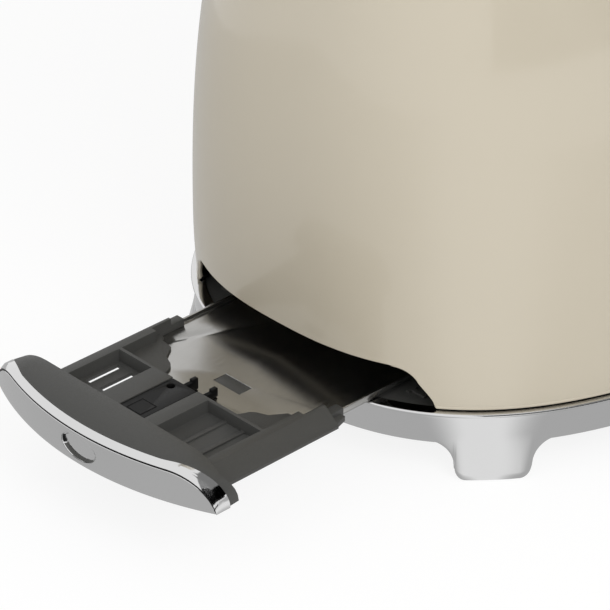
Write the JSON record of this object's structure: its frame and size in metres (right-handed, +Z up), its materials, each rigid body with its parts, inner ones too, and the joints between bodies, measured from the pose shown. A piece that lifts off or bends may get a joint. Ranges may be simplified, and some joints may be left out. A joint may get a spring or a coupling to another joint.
{
  "type": "pop up toaster",
  "caption": "Two-slice pop-up toaster with a rounded enamelled steel body on a polished base with feet, and a crumb tray with a curved front drawn out of one end.",
  "frame": {"origin": "point on the worktop under the middle of the body", "axes": "+Z up, +X along the bread slots towards the lever end; the crumb tray comes out of the -X end"},
  "size_m": [0.4124, 0.197, 0.1966],
  "materials": {
    "cream_enamel": "gloss",
    "polished_chrome": "polished",
    "satin_steel": "satin",
    "mirror_steel": "bright",
    "plated_steel": "satin",
    "bright_wire": "satin",
    "grey_plastic": "satin",
    "dark_plastic": "satin",
    "black_plastic": "satin",
    "mica": "matte",
    "resistance_wire": "satin",
    "copper_coil": "satin",
    "board_green": "gloss",
    "part_grey": "matte",
    "soft_rubber": "matte"
  },
  "bodies": {
    "housing": {"base_ring": "polished_chrome", "base_plate": "grey_plastic", "foot_pads": "soft_rubber", "base_seal": "black_plastic", "outer_shell": "cream_enamel", "top_plate": "satin_steel", "left_slot_collar": "satin_steel", "right_slot_collar": "satin_steel", "front_end_plate": "plated_steel", "rear_end_plate": "plated_steel", "left_reflector": "plated_steel", "right_reflector": "plated_steel", "heater_outer_left": "mica", "heater_inner_left": "mica", "heater_inner_right": "mica", "heater_outer_right": "mica", "heater_wires": "resistance_wire", "guide_rods": "bright_wire", "return_springs": "bright_wire", "electromagnet": "copper_coil", "circuit_board": "board_green", "potentiometer": "part_grey", "switches": "dark_plastic", "control_panel": "dark_plastic", "dial_ring": "polished_chrome", "cord_gland": "black_plastic", "left_tray_guide": "dark_plastic", "right_tray_guide": "dark_plastic", "latch_striker": "plated_steel", "base_screws": "plated_steel", "chassis_screws": "plated_steel"},
    "lift": {"carriage_bracket": "plated_steel", "left_lifter": "plated_steel", "right_lifter": "plated_steel", "lever_arm": "plated_steel", "lever_knob": "black_plastic", "catch_plate": "plated_steel"},
    "guard_1": {"guard_outer_left": "bright_wire"},
    "guard_2": {"guard_inner_left": "bright_wire"},
    "guard_3": {"guard_inner_right": "bright_wire"},
    "guard_4": {"guard_outer_right": "bright_wire"},
    "dial": {"dial_knob": "black_plastic", "dial_shaft": "bright_wire"},
    "bagel_button": {"button_bagel": "satin_steel"},
    "defrost_button": {"button_defrost": "satin_steel"},
    "reheat_button": {"button_reheat": "satin_steel"},
    "cancel_button": {"button_cancel": "satin_steel"},
    "tray": {"tray_front_cap": "polished_chrome", "tray_push_pad": "satin_steel", "tray_carrier": "grey_plastic", "tray_latch": "black_plastic", "tray_hooks": "black_plastic", "crumb_plate": "mirror_steel", "plate_pad": "grey_plastic", "tray_screws": "mirror_steel"}
  },
  "joints": [
    {"name": "lift_slide", "type": "slide", "parent": "housing", "child": "lift", "axis": [0, 0, -1], "range_m": [0, 0.065], "stiffness_N_per_m": 120, "springref_m": -0.025, "deforming": ["return_springs"]},
    {"name": "guard_outer_left_slide", "type": "slide", "parent": "housing", "child": "guard_1", "axis": [0, -1, 0], "range_m": [0, 0.006]},
    {"name": "guard_inner_left_slide", "type": "slide", "parent": "housing", "child": "guard_2", "axis": [0, 1, 0], "range_m": [0, 0.006]},
    {"name": "guard_inner_right_slide", "type": "slide", "parent": "housing", "child": "guard_3", "axis": [0, -1, 0], "range_m": [0, 0.006]},
    {"name": "guard_outer_right_slide", "type": "slide", "parent": "housing", "child": "guard_4", "axis": [0, 1, 0], "range_m": [0, 0.006]},
    {"name": "dial_turn", "type": "hinge", "parent": "housing", "child": "dial", "pos_m": [0.15, 0, 0.051], "axis": [1, 0, 0], "range_deg": [-135, 135]},
    {"name": "bagel_press", "type": "slide", "parent": "housing", "child": "bagel_button", "axis": [-1, 0, 0], "range_m": [0, 0.003], "stiffness_N_per_m": 400},
    {"name": "defrost_press", "type": "slide", "parent": "housing", "child": "defrost_button", "axis": [-1, 0, 0], "range_m": [0, 0.003], "stiffness_N_per_m": 400},
    {"name": "reheat_press", "type": "slide", "parent": "housing", "child": "reheat_button", "axis": [-1, 0, 0], "range_m": [0, 0.003], "stiffness_N_per_m": 400},
    {"name": "cancel_press", "type": "slide", "parent": "housing", "child": "cancel_button", "axis": [-1, 0, 0], "range_m": [0, 0.003], "stiffness_N_per_m": 400},
    {"name": "tray_slide", "type": "slide", "parent": "housing", "child": "tray", "axis": [-1, 0, 0], "range_m": [-0.0828, 0.12]}
  ],
  "couplings": [
    {"joint": "guard_outer_left_slide", "follows": "lift_slide", "ratio": 0.0923},
    {"joint": "guard_inner_left_slide", "follows": "lift_slide", "ratio": 0.0923},
    {"joint": "guard_inner_right_slide", "follows": "lift_slide", "ratio": 0.0923},
    {"joint": "guard_outer_right_slide", "follows": "lift_slide", "ratio": 0.0923}
  ]
}
